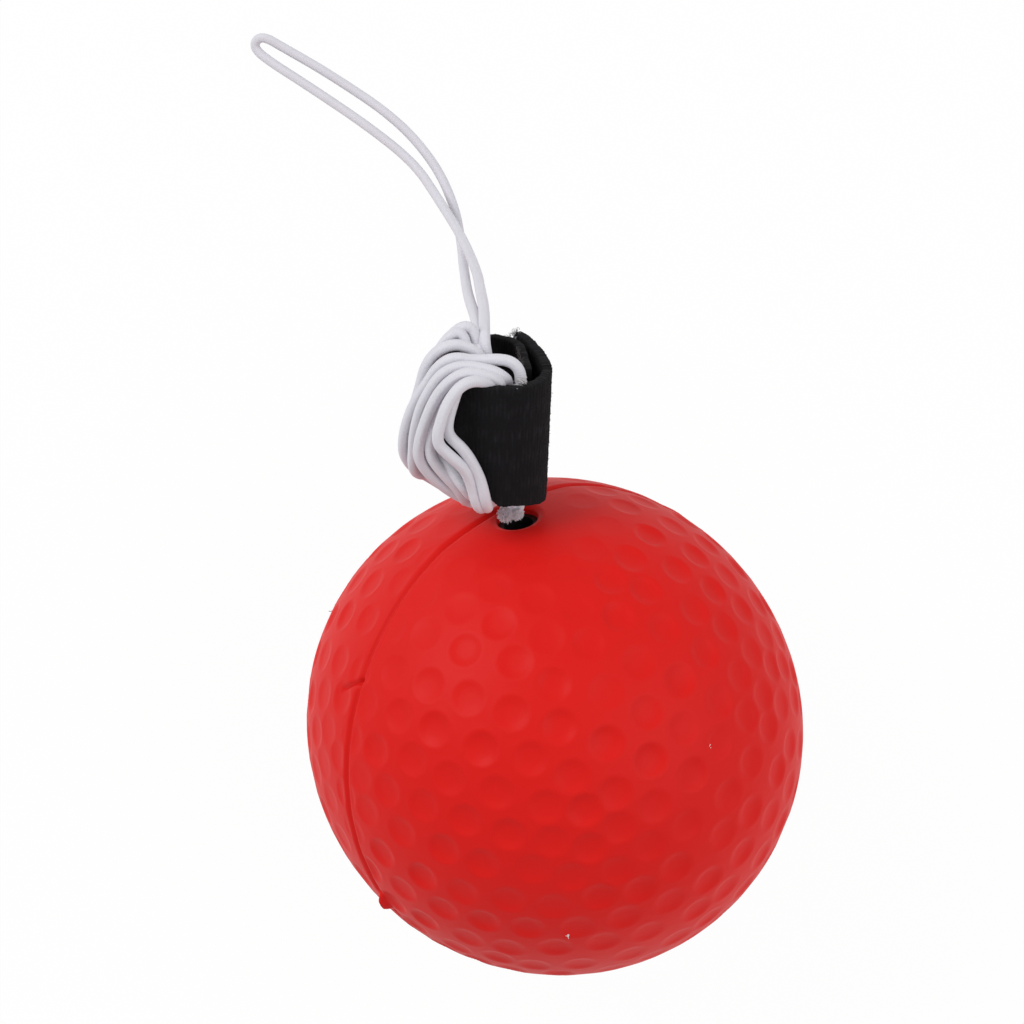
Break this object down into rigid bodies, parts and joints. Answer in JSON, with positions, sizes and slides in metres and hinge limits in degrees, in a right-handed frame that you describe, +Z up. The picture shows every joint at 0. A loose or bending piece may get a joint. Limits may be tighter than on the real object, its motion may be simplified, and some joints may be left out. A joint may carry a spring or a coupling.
{
  "type": "reflex ball",
  "caption": "Soft dimpled foam ball on a doubled elastic cord, the cord wound in a hank inside a hook-and-loop strap with its end loop free, for a boxing reflex headband.",
  "frame": {"origin": "the middle of the patch on which the foam ball rests, straight below the ball's centre", "axes": "+Z up; the ball's bore lies in the YZ plane and rises towards +Y, where the wound cord and its free loop lie; +X to the right when looking along +Y"},
  "size_m": [0.064, 0.1452, 0.0737],
  "materials": {
    "foam": "satin",
    "cord": "matte",
    "strap": "matte",
    "anchor": "matte"
  },
  "bodies": {
    "packed_ball": {"ball": "foam", "cord_anchor": "anchor", "cord_knot": "cord", "cord_hank": "cord", "cord_loop": "cord", "strap_wrap": "strap"},
    "strap_flap": {"strap_flap": "strap"}
  },
  "joints": [
    {"name": "flap_fold", "type": "hinge", "parent": "packed_ball", "child": "strap_flap", "pos_m": [0.00575, 0.03352, 0.05938], "axis": [-0.1908, -0.7574, -0.6244], "range_deg": [0, 110]}
  ]
}
